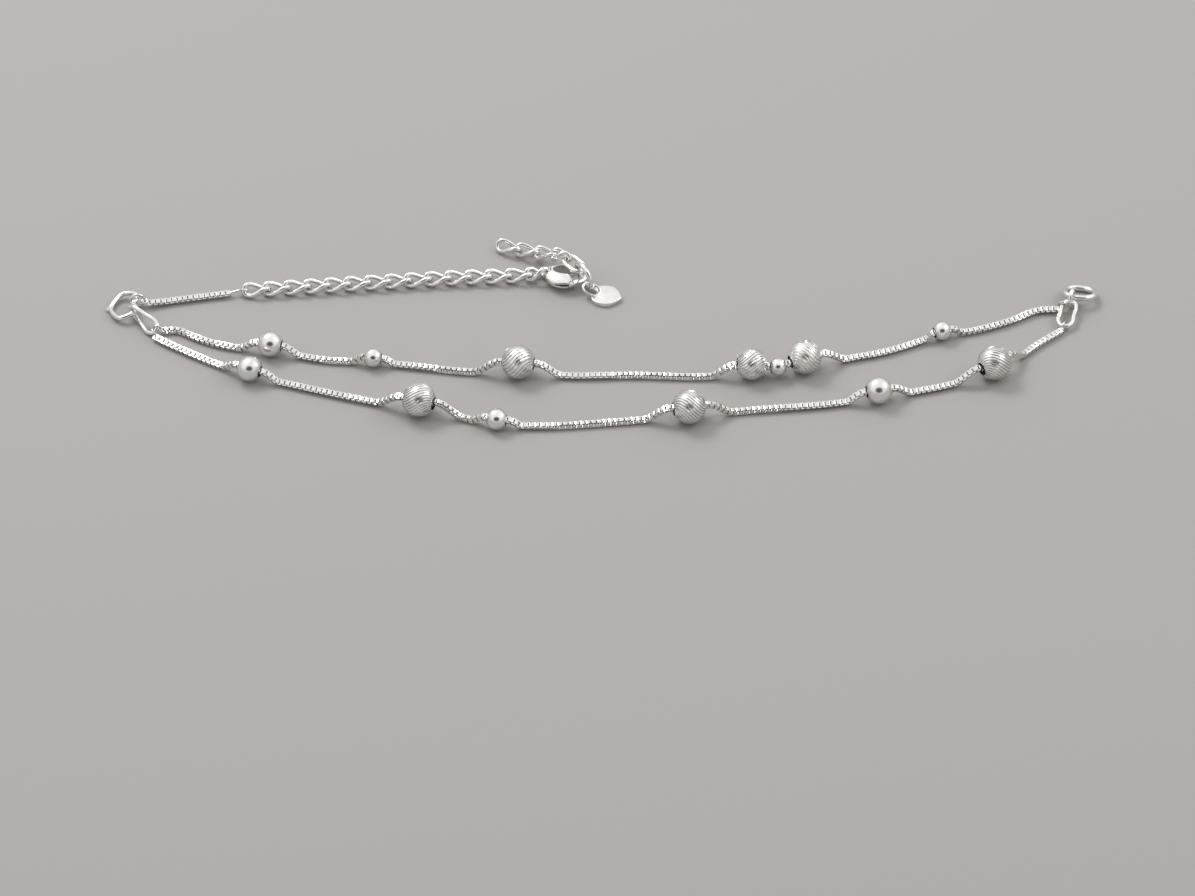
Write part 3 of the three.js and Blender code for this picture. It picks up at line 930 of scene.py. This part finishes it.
# End eyes of the box chains.

def on_loop(row, angle):
    """A place on a wire loop's end, by the angle from the middle of that end, and the wire's direction."""
    start = Vector(row["start"])
    end = Vector(row["end"])
    along = (end - start).normalized()
    across = UP.cross(along).normalized()
    twist = math.radians(row["twists"][1])
    side = math.cos(twist) * across + math.sin(twist) * along.cross(across)
    turn = math.radians(angle)
    half = row["width"] / 2
    place = end - along * half * (1 - math.cos(turn)) + side * half * math.sin(turn)
    return place, side * math.cos(turn) - along * math.sin(turn)


def end_eye(row):
    """A round eye about a wire, with its stem running from the chain's end."""
    root = Vector(row["root"])
    place, wire_direction = row["round"]
    away = (place - root).normalized()
    up = wire_direction.cross(away).normalized()
    away = up.cross(wire_direction).normalized()
    if away.dot(place - root) < 0:
        away = -away
    line = [root]
    for i in range(EYE_STEPS + 1):
        turn = 2 * math.pi * i / EYE_STEPS
        line.append(place + (up * math.sin(turn) - away * math.cos(turn)) * row["radius"])
    curve = bpy.data.curves.new("eye", "CURVE")
    curve.dimensions = "3D"
    spline = curve.splines.new("POLY")
    spline.points.add(len(line) - 1)
    for point, corner in zip(spline.points, line):
        point.co = (*place_of(corner), 1)
    curve.bevel_depth = row["wire"] / 2 * MM
    curve.bevel_resolution = EYE_ROUNDNESS
    curve.use_fill_caps = True
    eye = bpy.data.objects.new("eye", curve)
    bpy.context.scene.collection.objects.link(eye)
    activate(eye)
    bpy.ops.object.convert(target="MESH")
    return active_piece()


# The anklet.

back_line = strand_line(BACK_ROWS)
front_line = strand_line(FRONT_ROWS)
extension_line = smooth_line([place_of(row) for row in EXTENSION_ROWS], LINE_STEPS)

# Eyes at the box chains' ends: where the chain ends, and the place and direction of the wire in the eye.
left_link, right_link = LOOPS[:2]
right_link_low = {**right_link, "start": right_link["end"], "end": right_link["start"]}
slant = math.radians(CURB_TWIST)
curb_wire = (Vector(CURB_ROWS[0]), Vector((0, math.cos(slant), math.sin(slant))))
jump_ring_wire = (Vector((-83.1, 8.42, 1.2)), UP)
back_eyes = [
    {"root": (-79.2, 0.78, CHAIN_LYING), "round": on_loop(left_link, 35), "radius": 0.66, "wire": 0.36},
    {"root": (82.0, 6.65, CHAIN_LYING), "round": on_loop(right_link, 88), "radius": 0.7, "wire": 0.36},
]
front_eyes = [
    {"root": (-80.4, -1.05, CHAIN_LYING), "round": on_loop(left_link, -15), "radius": 0.66, "wire": 0.36},
    {"root": (82.6, 0.85, CHAIN_LYING), "round": on_loop(right_link_low, 0), "radius": 0.7, "wire": 0.36},
]
extension_eyes = [
    {"root": (-82.2, 8.05, 0.97), "round": jump_ring_wire, "radius": 0.56, "wire": 0.36},
    {"root": (-67.9, 11.05, 0.82), "round": curb_wire, "radius": 0.72, "wire": 0.42},
]
for node, line, rolls, eyes in (
    ("back_strand_chain", back_line, BACK_ROLLS, back_eyes),
    ("front_strand_chain", front_line, FRONT_ROLLS, front_eyes),
    ("extension_box_chain", extension_line, EXTENSION_ROLLS, extension_eyes),
):
    links = join([box_chain(line, rolls), *(end_eye(eye) for eye in eyes)])
    settle(links, node.replace("chain", "links"), "anklet", "chain_silver", chain_silver, node)

lines = {"back": back_line, "front": front_line}
for row in LARGE_BEADS:
    node = row["name"]
    bead = cut_bead(row, lines[node.split("_")[0]])
    settle(bead, node + "_cut", "anklet", "cut_silver", None, node)
for names, material in ((SATIN_BEADS, satin_silver), (POLISHED_BEADS, polished_silver)):
    for node in names:
        ball = bored_ball(bead_radius(node), BORE_RADIUS, BALL_SEGMENTS, BALL_RINGS)
        set_on_strand(ball, node, lines[node.split("_")[0]], 0)
        settle(ball, node + "_ball", "anklet", "satin_silver", material, node)

for row in LOOPS + curb_links():
    settle_wire(lay_loop(row), row["name"])
for row in RINGS:
    settle_wire(stand_ring(row), row["name"])
settle_wire(heart_loop(), "heart_loop")
settle(heart_tag(), "heart_tag_plate", "anklet", "satin_silver", satin_silver, "heart_tag")
settle(clasp_body(), "clasp_body_casting", "anklet", "polished_silver", polished_silver, "clasp_body")
settle(clasp_lever(), "clasp_lever_casting", "lever", "polished_silver", polished_silver, "clasp_lever")


# Floor, light and camera.

elevation = math.radians(ELEVATION)
camera_side = Vector((0, -math.cos(elevation), math.sin(elevation)))


def lay_floor():
    deselect()
    bpy.ops.mesh.primitive_plane_add(size=FLOOR["size"])
    floor = active_piece()
    floor.name = "floor"
    paint = bpy.data.materials.new("Pale studio floor")
    paint.use_nodes = True
    shader = paint.node_tree.nodes["Principled BSDF"]
    shader.inputs["Base Color"].default_value = linear(FLOOR["colour"])
    shader.inputs["Roughness"].default_value = FLOOR["roughness"]
    floor.data.materials.append(paint)


def softbox(row):
    """A rectangular light that faces the anklet."""
    light = bpy.data.lights.new(row["name"], "AREA")
    light.shape = "RECTANGLE"
    light.size, light.size_y = row["size"]
    light.energy = row["power"]
    lamp = bpy.data.objects.new(row["name"], light)
    lamp.location = row["place"]
    lamp.rotation_euler = (-Vector(row["place"])).to_track_quat("-Z", "Y").to_euler()
    bpy.context.scene.collection.objects.link(lamp)


def hang_tent():
    """The world: a white tent, dimmer towards the table, with a dark hole where the camera looks in."""
    world = bpy.data.worlds.new("studio")
    world.use_nodes = True
    tree = world.node_tree
    tree.nodes.clear()
    direction = add_node(tree, "ShaderNodeTexCoord").outputs["Generated"]
    height = add_node(tree, "ShaderNodeSeparateXYZ", None, {"Vector": direction}).outputs["Z"]
    tent = add_node(
        tree,
        "ShaderNodeMapRange",
        {
            "interpolation_type": "SMOOTHSTEP",
            "From Min": TENT["low"],
            "From Max": TENT["high"],
            "To Min": TENT["dim"],
            "To Max": TENT["bright"],
        },
        {"Value": height},
    )
    widened = add_node(
        tree,
        "ShaderNodeVectorMath",
        {"operation": "MULTIPLY", "Vector_001": CAMERA_HOLE["squeeze"]},
        {"Vector": direction},
    )
    aimed = add_node(
        tree, "ShaderNodeVectorMath", {"operation": "NORMALIZE"}, {"Vector": widened.outputs["Vector"]}
    )
    towards_camera = add_node(
        tree,
        "ShaderNodeVectorMath",
        {"operation": "DOT_PRODUCT", "Vector_001": camera_side},
        {"Vector": aimed.outputs["Vector"]},
    )
    hole = add_node(
        tree,
        "ShaderNodeMapRange",
        {
            "interpolation_type": "SMOOTHSTEP",
            "From Min": math.cos(math.radians(CAMERA_HOLE["edge"])),
            "From Max": math.cos(math.radians(CAMERA_HOLE["core"])),
            "To Min": 1.0,
            "To Max": CAMERA_HOLE["dark"],
        },
        {"Value": towards_camera.outputs["Value"]},
    )
    shade = add_node(
        tree,
        "ShaderNodeMath",
        {"operation": "MULTIPLY"},
        {"Value": tent.outputs["Result"], "Value_001": hole.outputs["Result"]},
    )
    sky = add_node(
        tree, "ShaderNodeBackground", {"Color": linear("#FFFFFF")}, {"Strength": shade.outputs["Value"]}
    )
    add_node(tree, "ShaderNodeOutputWorld", None, {"Surface": sky.outputs["Background"]})
    bpy.context.scene.world = world


def set_camera():
    camera_data = bpy.data.cameras.new("camera")
    camera_data.lens = LENS
    camera_data.sensor_width = SENSOR
    camera_data.clip_start = 0.01
    camera = bpy.data.objects.new("camera", camera_data)
    camera.location = (AIM + DISTANCE * camera_side) * MM
    camera.rotation_euler = (math.pi / 2 - elevation, 0, 0)
    bpy.context.scene.collection.objects.link(camera)
    bpy.context.scene.camera = camera


lay_floor()
for row in SOFTBOXES:
    softbox(row)
hang_tent()
set_camera()
bpy.context.scene.view_settings.view_transform = "Standard"
